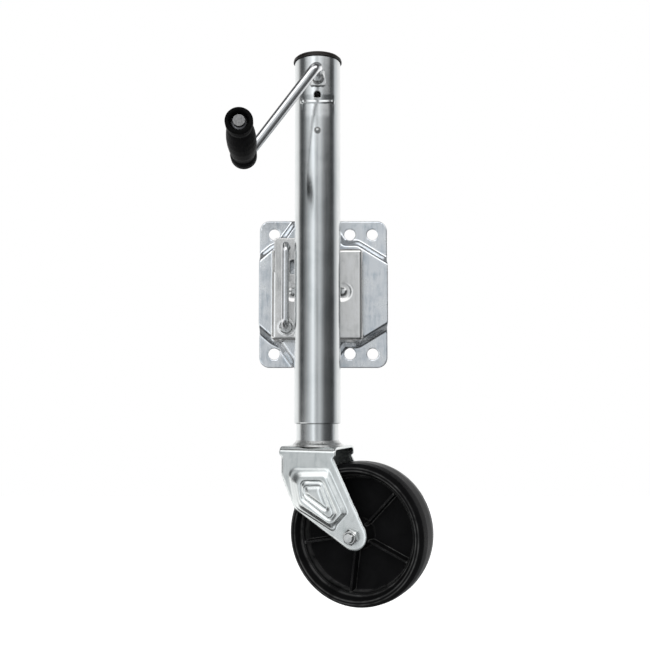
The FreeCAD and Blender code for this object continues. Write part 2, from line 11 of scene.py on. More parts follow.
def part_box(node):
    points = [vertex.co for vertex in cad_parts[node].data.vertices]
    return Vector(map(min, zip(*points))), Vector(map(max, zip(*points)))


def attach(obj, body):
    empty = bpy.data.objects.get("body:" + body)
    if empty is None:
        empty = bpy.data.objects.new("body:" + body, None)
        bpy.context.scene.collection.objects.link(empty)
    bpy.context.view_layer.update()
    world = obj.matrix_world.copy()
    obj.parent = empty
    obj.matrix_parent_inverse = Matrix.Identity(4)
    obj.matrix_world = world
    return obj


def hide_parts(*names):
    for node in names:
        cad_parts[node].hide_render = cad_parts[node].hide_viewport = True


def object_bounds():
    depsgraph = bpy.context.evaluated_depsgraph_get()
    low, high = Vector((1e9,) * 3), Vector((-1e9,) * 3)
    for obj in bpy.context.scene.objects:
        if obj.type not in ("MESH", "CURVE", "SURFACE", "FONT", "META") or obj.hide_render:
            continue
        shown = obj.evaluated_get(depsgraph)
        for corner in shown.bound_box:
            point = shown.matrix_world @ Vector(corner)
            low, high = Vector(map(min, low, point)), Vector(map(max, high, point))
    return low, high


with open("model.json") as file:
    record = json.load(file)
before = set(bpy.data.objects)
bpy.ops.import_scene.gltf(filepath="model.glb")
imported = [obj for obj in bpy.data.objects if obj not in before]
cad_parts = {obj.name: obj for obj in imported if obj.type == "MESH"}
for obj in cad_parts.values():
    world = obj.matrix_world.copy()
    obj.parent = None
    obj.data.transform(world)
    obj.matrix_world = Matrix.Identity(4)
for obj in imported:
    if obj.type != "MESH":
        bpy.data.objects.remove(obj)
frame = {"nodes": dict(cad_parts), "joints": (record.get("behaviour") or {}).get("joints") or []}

NODES = frame["nodes"]
JOINTS = {joint["name"]: joint for joint in frame["joints"]}
CAD_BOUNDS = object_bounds()
MM = 0.001
MERGE = 0.001  # millimetres


def box_mm(node):
    """Lowest and highest corner of a CAD node, in millimetres."""
    low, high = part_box(node)
    return np.array(low) / MM, np.array(high) / MM


# --- places and sizes, in millimetres -----------------------------------------
TUBE_LOW, TUBE_HIGH = box_mm("outer_tube")
RAM_LOW, RAM_HIGH = box_mm("ram_tube")
PLATE_LOW, PLATE_HIGH = box_mm("mounting_plate")
TUBE_X, TUBE_Y = (RAM_LOW[:2] + RAM_HIGH[:2]) / 2
TUBE_R, TUBE_WALL = TUBE_X - TUBE_LOW[0], 2.3
AXLE = np.array(JOINTS["wheel_spin"]["pos_m"]) / MM
AXLE_DIR = np.array(JOINTS["wheel_spin"]["axis"])
TRAIL_DIR = np.array((AXLE_DIR[1], -AXLE_DIR[0], 0.0))
UP = np.array((0.0, 0.0, 1.0))
TUBE_AXIS = np.array((TUBE_X, TUBE_Y, 0.0))

PLATE_T, EMBOSS_H, EMBOSS_WALL = 4.0, 12.0, 9.0
BOLT_HOLES = [(-57.0, 69.5), (57.0, 69.5), (30.7, 69.5)]
BOLT_R, PIVOT_HOLE_R = 6.5, 38.0
LOCK_HOLE_AT, LOCK_HOLE_R = (-42.2, -40.0), 4.35

FORK_TOP = RAM_LOW[2]
FORK_HALF, FORK_T, FORK_BEND_R = 29.5, 3.0, 7.0

# World brightness by direction. FRONT_STOPS: degrees about the vertical from the camera's side.
# POLAR_STOPS: degrees away from the camera's side. The lights' heights are sines of elevation.
FRONT_STOPS = [(-106, 0.28), (-92, 0.08), (-78, 0.06), (-66, 0.18), (-54, 0.38), (-43, 0.56),
               (-33, 0.78), (-21, 1.30), (-11, 0.66), (-1, 0.34), (7, 0.68), (16, 0.56), (26, 0.26),
               (37, 0.11), (59, 0.07), (77, 0.05), (88, 0.10), (98, 0.60)]
POLAR_STOPS = [(0, 0.0), (92, 0.02), (103, 0.45), (112, 0.95), (140, 1.1), (180, 1.1)]
LAMP_LOW, LAMP_HIGH, LAMP = 0.40, 0.80, 1.5
FILL_TURN, FILL_LOW, FILL_HIGH, FILL = (-100, -50), -0.50, -0.13, 1.15
OVERHEAD_LOW, OVERHEAD = 0.84, 0.60
FLOOR_HALF, FLOOR_GLOW = 3.0, 0.85

CAMERA_AT = ((TUBE_X + 8.2) * MM, (TUBE_Y - 969.6) * MM, -0.1105)
CAMERA_TILT, CAMERA_LENS = 0.0729, 49.06


# --- outline and mesh helpers -------------------------------------------------
def divided(outline, step):
    """Closed outline with its long sides divided."""
    points = []
    for start, end in zip(outline, np.roll(outline, -1, axis=0)):
        count = max(1, math.ceil(np.linalg.norm(end - start) / step))
        points += [start + (end - start) * k / count for k in range(count)]
    return np.array(points)


def rounded(corners, step=1.0):
    """Closed outline through (x, y, corner radius) corners, with its arcs drawn out."""
    points = []
    for i, (x, y, radius) in enumerate(corners):
        corner = np.array((x, y), float)
        before = np.array(corners[i - 1][:2], float) - corner
        after = np.array(corners[(i + 1) % len(corners)][:2], float) - corner
        before /= np.linalg.norm(before)
        after /= np.linalg.norm(after)
        if radius == 0:
            points.append(corner)
            continue
        half = math.acos(np.clip(before @ after, -1, 1)) / 2
        middle = before + after
        centre = corner + middle / np.linalg.norm(middle) * radius / math.sin(half)
        arm = corner + before * radius / math.tan(half) - centre
        sweep = -math.copysign(math.pi - 2 * half, before[0] * after[1] - before[1] * after[0])
        count = max(3, math.ceil(radius * abs(sweep) / step))
        for k in range(count + 1):
            c, s = math.cos(sweep * k / count), math.sin(sweep * k / count)
            points.append(centre + (arm[0] * c - arm[1] * s, arm[0] * s + arm[1] * c))
    return np.array(points)


def full_turn(count):
    """Evenly spaced angles of one turn."""
    return np.arange(count) * 2 * math.pi / count


def circle(x, y, radius, count=40):
    turn = full_turn(count)
    return np.column_stack([x + radius * np.cos(turn), y + radius * np.sin(turn)])


def signed_distance(points, outline):
    """Distance of each point to a closed outline, negative inside."""
    nearest = np.full(len(points), np.inf)
    inside = np.zeros(len(points), bool)
    for start, end in zip(outline, np.roll(outline, -1, axis=0)):
        side = end - start
        if not side.any():
            continue
        along = np.clip((points - start) @ side / (side @ side), 0, 1)
        nearest = np.minimum(nearest, ((points - start - along[:, None] * side) ** 2).sum(1))
        if side[1]:
            level = (start[1] > points[:, 1]) != (end[1] > points[:, 1])
            cross = start[0] + (points[:, 1] - start[1]) / side[1] * side[0]
            inside ^= level & (points[:, 0] < cross)
    return np.where(inside, -1, 1) * np.sqrt(nearest)


def smooth(value):
    """Smooth step from 0 to 1."""
    value = np.clip(value, 0, 1)
    return value * value * (3 - 2 * value)


def grid(low, high, step, stagger=0.5):
    """Rows of points, close to equal triangles unless the columns have to line up."""
    rows = np.arange(low[1], high[1], step * (0.87 if stagger else 1.0))
    columns = np.arange(low[0], high[0] - 1e-6, step)
    return np.array([(x + (k % 2) * step * stagger, y)
                     for k, y in enumerate(rows) for x in columns])


def softened(height, points, reach):
    """Mean of a height over a small disc round each point."""
    turns = np.arange(8) * math.pi / 4
    total = height(points)
    for turn, radius in zip(turns, (reach, reach / 2) * 4):
        total = total + height(points + radius * np.array((math.cos(turn), math.sin(turn))))
    return total / 9


def blank_mesh(loops, step, zones, stagger):
    """Triangles of a flat blank: its outline, its holes, and finer zones (low, high, step)."""
    borders = [divided(loops[0], step)]
    borders += [divided(hole, step)[::-1] for hole in loops[1:]]
    inner = grid(borders[0].min(0), borders[0].max(0), step, stagger)
    for low, high, fine in zones:
        outside = ((inner < np.array(low) - fine) | (inner > np.array(high) + fine)).any(axis=1)
        inner = np.concatenate([inner[outside], grid(low, high, fine)])
    keep = signed_distance(inner, borders[0]) < -0.4 * step
    for hole in borders[1:]:
        keep &= signed_distance(inner, hole) > 0.4 * step
    points = np.concatenate(borders + [inner[keep]])
    edges = []
    for loop in borders:
        first, count = len(edges), len(loop)
        edges += [(first + i, first + (i + 1) % count) for i in range(count)]
    faces = geometry.delaunay_2d_cdt([Vector(p) for p in points], edges, [], 0, 1e-6)[2]
    faces = np.array(faces)
    centres = points[faces].mean(axis=1)
    keep = signed_distance(centres, borders[0]) < 0
    for hole in borders[1:]:
        keep &= signed_distance(centres, hole) > 0
    return points, faces[keep], edges


def vertex_normals(places, faces):
    """Unit normals at the points of a triangle mesh."""
    a, b, c = (places[faces[:, k]] for k in range(3))
    normal = np.cross(b - a, c - a)
    total = np.zeros_like(places)
    for k in range(3):
        np.add.at(total, faces[:, k], normal)
    return total / np.linalg.norm(total, axis=1)[:, None]


def pressed_sheet(loops, step, thickness, place, zones=(), around=None, edge=0.6):
    """Solid pressing: place() lifts the blank's points; its cut edges are slightly rounded.

    around is a point on the upright axis of a blank that closes on itself as a tube.
    """
    stagger = 0.5 if around is None else 0.0
    points, faces, edges = blank_mesh(loops, step, zones, stagger)
    count = len(edges)
    border = points[:count]
    ahead = np.zeros((count, 2))
    for i, j in edges:
        side = (border[j] - border[i]) / np.linalg.norm(border[j] - border[i])
        ahead[i] += side
        ahead[j] += side
    on_seam = np.zeros(count, bool)
    if around is not None:
        on_seam = np.abs(np.abs(border[:, 0]) - points[:, 0].max()) < 1e-6
        ahead[on_seam] *= (1, 0)
    ahead /= np.maximum(np.linalg.norm(ahead, axis=1), 1e-9)[:, None]
    outward = np.column_stack([ahead[:, 1], -ahead[:, 0]])
    inner = points.copy()
    inner[:count] -= outward * edge
    front = place(inner)
    normal = vertex_normals(front, faces)
    if around is not None:
        normal = (front - around) * (1, 1, 0)
        normal /= np.linalg.norm(normal, axis=1)[:, None]
    rim = place(border)
    rings = [rim - normal[:count] * edge, rim - normal[:count] * (thickness - edge)]
    total = len(points)
    levels = [0, 2 * total, 2 * total + count, total]
    solid = [tuple(f) for f in faces] + [tuple(f[::-1] + total) for f in faces]
    for i, j in edges:
        if on_seam[i] and on_seam[j]:
            continue
        for upper, lower in zip(levels, levels[1:]):
            solid.append((j + upper, i + upper, i + lower, j + lower))
    return np.concatenate([front, front - normal * thickness] + rings), solid


def spokes_at(axis, turn):
    """Unit vectors square to a unit axis, one for each turn."""
    side = np.cross(axis, (0.0, 0.0, 1.0) if abs(axis[2]) < 0.9 else (1.0, 0.0, 0.0))
    side /= np.linalg.norm(side)
    across = np.cross(axis, side)
    return np.cos(turn)[:, None] * side + np.sin(turn)[:, None] * across


def band(first, second, size):
    """Faces between two closed rings, from the index of each ring's first point."""
    following = [(i + 1) % size for i in range(size)]
    return [(first + i, first + j, second + j, second + i) for i, j in enumerate(following)]


def lathe(profile, base, axis, segments=96):
    """Turned solid of a closed (radius, distance along the axis) profile."""
    axis = np.array(axis, float) / np.linalg.norm(axis)
    spokes = spokes_at(axis, full_turn(segments))
    profile = np.array(profile)
    places = [base + spokes * r + axis * h for r, h in profile]
    count = len(profile)
    faces = []
    for k in range(count):
        following = (k + 1) % count
        on_axis = profile[k][0] < 1e-6 and profile[following][0] < 1e-6
        if not on_axis:
            faces += band(k * segments, following * segments, segments)
    return np.concatenate(places), faces


def loft(loops):
    """Ring-shaped solid through closed loops that have the same number of points."""
    count, size = len(loops), len(loops[0])
    faces = []
    for k in range(count):
        faces += band(k * size, (k + 1) % count * size, size)
    return np.concatenate(loops), faces


def bar(section, start, end, across, up):
    """Straight bar with a closed (across, up) section and flat ends."""
    size = len(section)
    rim = section[:, :1] * across + section[:, 1:] * up
    faces = band(0, size, size)
    faces += [tuple(range(size))[::-1], tuple(range(size, 2 * size))]
    return np.concatenate([rim + start, rim + end]), faces


def threaded(radius, depth, pitch, length, base, axis, segments=40):
    """Threaded rod along the axis from base, with a chamfered end."""
    turn = full_turn(segments)
    spokes = spokes_at(axis, turn)
    levels = np.linspace(0, length, max(2, round(length / pitch * 8)))
    places = []
    for h in levels:
        phase = (h / pitch - turn / (2 * math.pi)) % 1
        reach = radius - depth * (1 - np.abs(2 * phase - 1))
        reach = np.minimum(reach, radius - depth + (length - h))
        places.append(base + spokes * reach[:, None] + axis * h)
    faces = []
    for k in range(len(levels) - 1):
        faces += band(k * segments, (k + 1) * segments, segments)
    last = (len(levels) - 1) * segments
    faces += [tuple(range(segments))[::-1], tuple(range(last, last + segments))]
    return np.concatenate(places), faces


def piece(name, shape, material, body, slot, *replaced, angle=50):
    """Link a mesh given in millimetres, hang it on its body and hide the CAD parts it replaces.

    Edges sharper than angle, in degrees, are shaded sharp.
    """
    mesh = bpy.data.meshes.new(name)
    work = bmesh.new()
    places, faces = shape
    corners = [work.verts.new(p) for p in np.asarray(places) * MM]
    for face in faces:
        work.faces.new([corners[i] for i in face])
    bmesh.ops.remove_doubles(work, verts=work.verts, dist=MERGE * MM)
    bmesh.ops.dissolve_degenerate(work, edges=work.edges, dist=1e-8)
    bmesh.ops.recalc_face_normals(work, faces=work.faces)
    work.to_mesh(mesh)
    work.free()
    mesh.shade_smooth()
    mesh.set_sharp_from_angle(angle=math.radians(angle))
    mesh.materials.append(material)
    thing = bpy.data.objects.new(name, mesh)
    bpy.context.scene.collection.objects.link(thing)
    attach(thing, body)
    if replaced:
        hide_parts(*replaced)


def joined(*shapes):
    """Several meshes as one."""
    places, faces, first = [], [], 0
    for points, loops in shapes:
        places.append(np.asarray(points))
        faces += [tuple(i + first for i in loop) for loop in loops]
        first += len(points)
    return np.concatenate(places), faces


# --- node material helpers ---------------------------------------------------
class Nodes:
    """Short way to write a node tree."""

    def __init__(self, tree):
        self.tree = tree

    def add(self, kind, inputs=None, **settings):
        """New node; an input is a value or another node's socket."""
        node = self.tree.nodes.new("ShaderNode" + kind)
        for key, value in settings.items():
            setattr(node, key, value)
        for key, value in (inputs or {}).items():
            socket = node.inputs[key]
            if isinstance(value, bpy.types.NodeSocket):
                self.tree.links.new(value, socket)
            else:
                socket.default_value = value
        return node

    def noise(self, coords, scale, detail=4.0, rough=0.55, distort=0.0):
        return self.add("TexNoise", {"Vector": coords, "Scale": scale, "Detail": detail,
                                     "Roughness": rough, "Distortion": distort}).outputs["Fac"]

    def stretch(self, coords, scale):
        return self.add("Mapping", {"Vector": coords, "Scale": scale}).outputs["Vector"]

    def span(self, value, low, high, to_low, to_high):
        return self.add("MapRange", {"Value": value, "From Min": low, "From Max": high,
                                     "To Min": to_low, "To Max": to_high}).outputs["Result"]

    def math(self, operation, a, b=0.0):
        return self.add("Math", {0: a, 1: b}, operation=operation).outputs[0]

    def ramp(self, value, stops):
        node = self.add("ValToRGB", {"Fac": value})
        elements = node.color_ramp.elements
        while len(elements) < len(stops):
            elements.new(0.5)
        for element, (place, colour) in zip(elements, stops):
            element.position = place
            element.color = (*colour, 1.0)
        return node.outputs["Color"]

    def mix(self, factor, a, b, blend="MIX"):
        node = self.add("Mix", data_type="RGBA", blend_type=blend)
        for key, value in ((0, factor), (6, a), (7, b)):
            socket = node.inputs[key]
            if isinstance(value, bpy.types.NodeSocket):
                self.tree.links.new(value, socket)
            else:
                socket.default_value = value if key == 0 else (*value, 1.0)
        return node.outputs[2]

    def shaded(self, colour, shade):
        """Colour times a grey shade."""
        grey = self.add("CombineColor", {k: shade for k in range(3)}).outputs[0]
        return self.mix(1.0, colour, grey, "MULTIPLY")

    def between(self, value, low, high, low_edge, high_edge):
        """1 from low to high, fading out across an edge at each end."""
        return self.math("MULTIPLY", self.span(value, low - low_edge, low + low_edge, 0.0, 1.0),
                         self.span(value, high + high_edge, high - high_edge, 0.0, 1.0))

    def bump(self, height, strength, distance, normal=None):
        inputs = {"Height": height, "Strength": strength, "Distance": distance}
        if normal is not None:
            inputs["Normal"] = normal
        return self.add("Bump", inputs).outputs["Normal"]


def new_material(name, **fixed):
    """Principled material; fixed values go straight on the shader's sockets."""
    material = bpy.data.materials.new(name)
    material.use_nodes = True
    tree = material.node_tree
    shader = tree.nodes["Principled BSDF"]
    for key, value in fixed.items():
        shader.inputs[key.replace("_", " ")].default_value = value
    nodes = Nodes(tree)
    coords = nodes.add("TexCoord").outputs["Object"]
    return material, nodes, shader, coords


def soft_edges(nodes, radius):
    """Rounded-edge normal for hard CAD corners."""
    return nodes.add("Bevel", {"Radius": radius}, samples=4).outputs["Normal"]


def zinc(name, light, dark, rough, streak, mottle, scratch, edge=0.0004, grain=1.0, metal=0.94,
         sawn_before=None, bend_metal=None, corner=(0.016, 0.10, 0.60, 0.35)):
    """Zinc-plated steel: streaks from rolling or drawing, faint mottling, fine scratches, painted
    shade in corners.

    sawn_before is a depth, in millimetres along Y, in front of which the steel is a dull cut end.
    bend_metal is the metallic share of the steep walls of a sheet that faces along Y.
    corner is the reach of the painted shade in corners and recesses, the openness where it starts
    and ends, its tone.
    """
    material, nodes, shader, coords = new_material(name, Metallic=metal)
    link = material.node_tree.links.new
    cloud = nodes.noise(coords, mottle, 5.0, 0.6, 0.4)
    lines = nodes.noise(nodes.stretch(coords, streak), 1.0, 6.0, 0.62)
    fine = nodes.noise(coords, 2600.0, 2.0, 0.5)
    nicks = nodes.noise(nodes.stretch(coords, (900.0, 900.0, 60.0)), 1.0, 3.0, 0.7, 1.5)
    tone = nodes.math("ADD", nodes.math("MULTIPLY", cloud, 0.6), nodes.math("MULTIPLY", lines, 0.4))
    bright = tuple(min(1.0, c * 1.05) for c in light)
    colour = nodes.ramp(tone, [(0.34, dark), (0.50, light), (0.68, bright)])
    worn = nodes.span(nicks, 0.64, 0.72, 0.0, scratch)
    colour = nodes.mix(worn, colour, (0.93, 0.94, 0.95))
    # Painted shade: the colour darkens where ambient occlusion finds surfaces close by, in corners,
    # recesses and between parts.
    reach, closed, opened, shade_tone = corner
    open_air = nodes.add("AmbientOcclusion", {"Distance": reach}, samples=6).outputs["AO"]
    shade = nodes.span(open_air, closed, opened, shade_tone, 1.0)
    colour = nodes.shaded(colour, shade)
    low, high = rough
    roughness = nodes.math("ADD", nodes.span(lines, 0.3, 0.7, low, high),
                           nodes.span(cloud, 0.3, 0.7, -0.03, 0.04))
    if sawn_before is not None:
        depth = nodes.add("SeparateXYZ", {"Vector": coords}).outputs["Y"]
        sawn = nodes.span(depth, (sawn_before - 0.1) * MM, sawn_before * MM, 1.0, 0.0)
        cut = nodes.ramp(nodes.noise(coords, 700.0, 4.0, 0.7),
                         [(0.35, (0.22, 0.22, 0.22)), (0.65, (0.40, 0.40, 0.40))])
        colour = nodes.mix(sawn, colour, cut)
        roughness = nodes.math("ADD", roughness, nodes.math("MULTIPLY", sawn, 0.35))
    if bend_metal is not None:
        facing = nodes.add("TexCoord").outputs["Normal"]
        facing = nodes.add("SeparateXYZ", {"Vector": facing}).outputs["Y"]
        steep = nodes.span(nodes.math("ABSOLUTE", facing), 0.74, 0.50, 0.0, 1.0)
        link(nodes.span(steep, 0.0, 1.0, metal, bend_metal), shader.inputs["Metallic"])
    link(colour, shader.inputs["Base Color"])
    link(roughness, shader.inputs["Roughness"])
    height = nodes.math("ADD", nodes.math("MULTIPLY", lines, 0.8),
                        nodes.math("MULTIPLY", fine, 0.2))
    normal = soft_edges(nodes, edge) if edge else None
    normal = nodes.bump(height, 0.06 * grain, 0.0003, normal)
    normal = nodes.bump(cloud, 0.06 * grain, 0.0010, normal)
    link(normal, shader.inputs["Normal"])
    return material


def plastic(name, base, worn_colour, rough, grain_scale, grain, shine, edge_wear_and_highlight,
            dusty_from=None, rings=()):
    """Moulded black plastic: fine grain, faint flow marks, dust in patches, lighter edges that are
    partly rubbed wear, partly painted highlight.

    edge_wear_and_highlight is the tone of the lighter edges: rubbed wear and painted highlight.
    dusty_from is the distance from the axle, in metres, where a tread turns grey, and rings are
    the distances of painted highlight arcs on its rim's edges.
    """
    material, nodes, shader, coords = new_material(name, Specular_IOR_Level=shine)
    link = material.node_tree.links.new
    cloud = nodes.noise(coords, 45.0, 5.0, 0.6, 0.6)
    dust = nodes.noise(coords, 420.0, 4.0, 0.7)
    colour = nodes.ramp(cloud, [(0.35, base), (0.75, worn_colour)])
    colour = nodes.mix(nodes.span(dust, 0.62, 0.85, 0.0, 0.20), colour, (0.06, 0.06, 0.058))
    if dusty_from:
        arm = nodes.add("VectorMath", {0: coords, 1: AXLE * MM}, operation="SUBTRACT").outputs[0]
        arm = nodes.add("VectorMath", {0: arm, 1: AXLE_DIR},
                        operation="CROSS_PRODUCT").outputs[0]
        reach = nodes.add("VectorMath", {0: arm}, operation="LENGTH").outputs["Value"]
        scuffed = nodes.span(reach, dusty_from, dusty_from + 0.003, 0.0, 0.85)
        grey = nodes.ramp(dust, [(0.3, (0.007, 0.007, 0.008)), (0.7, (0.018, 0.018, 0.019))])
        colour = nodes.mix(scuffed, colour, grey)
    # Lighter edges where the bevelled normal leaves the true one: partly rubbed wear, partly
    # painted highlight. The rings add painted highlight arcs at given distances from the axle.
    bent = nodes.add("Bevel", {"Radius": 0.0015}, samples=6).outputs["Normal"]
    straight = nodes.add("NewGeometry").outputs["True Normal"]
    agree = nodes.add("VectorMath", {0: bent, 1: straight}, operation="DOT_PRODUCT")
    rubbed_and_highlit = nodes.span(agree.outputs["Value"], 0.99, 0.92, 0.0, 1.0)
    for ring in rings:
        off = nodes.math("ABSOLUTE", nodes.math("SUBTRACT", reach, ring))
        rubbed_and_highlit = nodes.math("MAXIMUM", rubbed_and_highlit, nodes.span(off, 0.0003, 0.0009, 0.7, 0.0))
    rubbed_and_highlit = nodes.math("MULTIPLY", rubbed_and_highlit, nodes.span(cloud, 0.36, 0.60, 0.15, 1.0))
    colour = nodes.mix(rubbed_and_highlit, colour, (edge_wear_and_highlight, edge_wear_and_highlight, edge_wear_and_highlight * 0.98))
    link(colour, shader.inputs["Base Color"])
    link(nodes.span(cloud, 0.3, 0.7, rough[0], rough[1]), shader.inputs["Roughness"])
    fine = nodes.noise(coords, grain_scale, 3.0, 0.6)
    normal = nodes.bump(fine, grain, 0.0003, soft_edges(nodes, 0.0005))
    link(normal, shader.inputs["Normal"])
    return material


def assign(material, *names):
    """Give CAD nodes a material."""
    for name in names:
        slots = NODES[name].data.materials
        slots.clear()
        slots.append(material)


# --- materials -----------------------------------------------------------------
ALONG_Z = (1400.0, 1400.0, 14.0)
SHEET = (260.0, 260.0, 40.0)
BLACK = (0.0075, 0.0075, 0.0078)
DULL_BLACK = (0.0125, 0.0125, 0.0130)
tube_zinc = zinc("tube_zinc", (0.75, 0.77, 0.77), (0.64, 0.67, 0.67), (0.18, 0.24),
                 ALONG_Z, 26.0, 0.15, metal=1.0)
plate_zinc = zinc("plate_zinc", (0.93, 0.96, 0.99), (0.70, 0.77, 0.83), (0.20, 0.27),
                  SHEET, 60.0, 0.35, bend_metal=0.85)
pan_zinc = zinc("pan_zinc", (0.98, 0.97, 0.95), (0.80, 0.80, 0.79), (0.18, 0.24),
                SHEET, 60.0, 0.35, corner=(0.006, 0.10, 0.50, 0.35))
# The long corner reach paints shade over the inside of the fork's cheeks and crown.
fork_zinc = zinc("fork_zinc", (0.86, 0.89, 0.88), (0.74, 0.78, 0.77), (0.18, 0.24),
                 SHEET, 60.0, 0.20, metal=0.92, corner=(0.06, 0.25, 0.75, 0.10))
rod_zinc = zinc("rod_zinc", (0.90, 0.91, 0.92), (0.80, 0.81, 0.82), (0.15, 0.21),
                SHEET, 90.0, 0.15, sawn_before=box_mm("crank_rod")[0][1] + 1.0)
hardware = zinc("hardware_zinc", (0.84, 0.85, 0.84), (0.62, 0.63, 0.63), (0.12, 0.22),
                SHEET, 160.0, 0.30, edge=0.0003)
weld_zinc = zinc("weld_zinc", (0.76, 0.77, 0.76), (0.56, 0.57, 0.56), (0.26, 0.42),
                 SHEET, 300.0, 0.25, edge=0.0, grain=2.5)
inner_steel = zinc("inner_steel", (0.44, 0.44, 0.44), (0.26, 0.25, 0.24), (0.28, 0.45),
                   SHEET, 120.0, 0.2, edge=0.0002)
spring_steel = zinc("spring_steel", (0.38, 0.38, 0.40), (0.20, 0.20, 0.22), (0.25, 0.4),
                    SHEET, 200.0, 0.2, edge=0.0)
grip_black = plastic("grip_black", BLACK, DULL_BLACK, (0.30, 0.38), 1500.0, 0.06,
                     shine=0.003, edge_wear_and_highlight=0.012)
cap_black = plastic("cap_black", (0.020, 0.016, 0.014), (0.034, 0.027, 0.022), (0.25, 0.34),
                    1800.0, 0.10, shine=0.35, edge_wear_and_highlight=0.06)
# rings: painted highlight arcs on the rim's edges; the lighter edges are partly rubbed wear, partly
# painted highlight.
wheel_black = plastic("wheel_black", BLACK, DULL_BLACK, (0.26, 0.34), 1300.0, 0.07,
                      shine=0.025, edge_wear_and_highlight=0.14, dusty_from=0.0722,
                      rings=(0.0590, 0.0622, 0.0666, 0.0696))

assign(tube_zinc, "outer_tube", "ram_tube")
assign(plate_zinc, "mounting_plate", "pivot_hub")
assign(pan_zinc, "swivel_bracket")
assign(fork_zinc, "caster_fork")
assign(rod_zinc, "crank_rod", "pull_pin")
assign(weld_zinc, "bracket_weld_beads", "ram_weld_bead")
assign(hardware, "hub_rivets", "lock_pin_collar", "pin_retaining_washer", "crank_bushing_front",
       "crank_bushing_rear", "grease_fitting", "axle_bolt", "axle_nut")
assign(inner_steel, "thrust_plate", "thrust_race_upper", "thrust_race_lower",
       "thrust_bearing_balls", "bevel_gear", "bevel_pinion", "lead_screw", "drive_nut",
       "nut_seat_ring", "axle_sleeve")
assign(spring_steel, "pin_spring", "crank_retaining_clip", "pinion_roll_pin", "gear_roll_pin",
       "nut_snap_ring", "grip_push_nut")
assign(grip_black, "crank_grip")
assign(cap_black, "top_cap")
assign(wheel_black, "wheel")


# --- mounting plate ----------------------------------------------------------------
def emboss_outline():
    """Middle line of the pressed wall: a cross whose arms run off the plate."""
    top = [(-92.0, 25.8, 0), (-60.0, 53.5, 4), (-50.5, 58.5, 4), (-19.2, 101.8, 0),
           (-7.5, 101.8, 0), (23.8, 58.5, 4), (40.0, 58.5, 5), (92.0, 26.8, 0)]
    return rounded((top + [(x, -z, r) for x, z, r in reversed(top)])[::-1])


def plate_pressing():
    """Plate with the raised cross, bolt holes, pivot hole and four index holes for the lock pin."""
    low, high = PLATE_LOW, PLATE_HIGH
    corners = [(low[0], low[2]), (high[0], low[2]), (high[0], high[2]), (low[0], high[2])]
    outline = rounded([(x, z, 12.0) for x, z in corners])
    holes = [circle(x, side * z, BOLT_R) for x, z in BOLT_HOLES for side in (-1, 1)]
    holes.append(circle(TUBE_X, 0, PIVOT_HOLE_R, 90))
    x, z = LOCK_HOLE_AT[0] - TUBE_X, LOCK_HOLE_AT[1]
    holes += [circle(TUBE_X + a, b, LOCK_HOLE_R, 24)
              for a, b in ((x, z), (z, -x), (-x, -z), (-z, x))]
    emboss = emboss_outline()

    def place(points):
        raised = smooth(0.5 - signed_distance(points, emboss) / EMBOSS_WALL)
        return np.column_stack([points[:, 0], -PLATE_T - EMBOSS_H * raised, points[:, 1]])

    shape = pressed_sheet([outline] + holes, 1.8, PLATE_T, place)
    piece("plate_pressing", shape, plate_zinc, "bracket", "bracket_zinc", "mounting_plate")


plate_pressing()


# --- swivel bracket ------------------------------------------------------------------
PAN_T, PAN_BEND_R, PAN_BEND, PAN_FALL, PAN_TOP = 3.0, 4.0, math.radians(80), 10.5, 51.0
PAN_REACH = PAN_BEND_R * math.sin(PAN_BEND) + PAN_FALL * math.cos(PAN_BEND)
PAN_SPREAD = PAN_BEND_R * PAN_BEND + PAN_FALL
TAB_LEFT, TAB_RIGHT, TAB_TOP, TAB_FOOT, SLIT_LEFT = -55.6, -24.0, 61.2, 22.0, -57.9
NOTCH_RIGHT, NOTCH_FOOT, SLIT_TOP = TAB_RIGHT + 3.5, 46.5, 49.0
RIVETS_X, RIVET_HOLE_R, RIVET_DISH, RIVET_DISH_R = (TUBE_X - 28.0, TUBE_X + 28.0), 4.0, 1.1, 12.0
COLLAR_HOLE_R, COLLAR_DISH, COLLAR_DISH_R = 5.5, 0.8, 10.5
PIN_HOLE_Z, PIN_HOLE_R = 50.8, 4.15
RELIEF_X, RELIEF_DOWN, RELIEF_R = (-49.4, 34.4), 4.6, 1.8


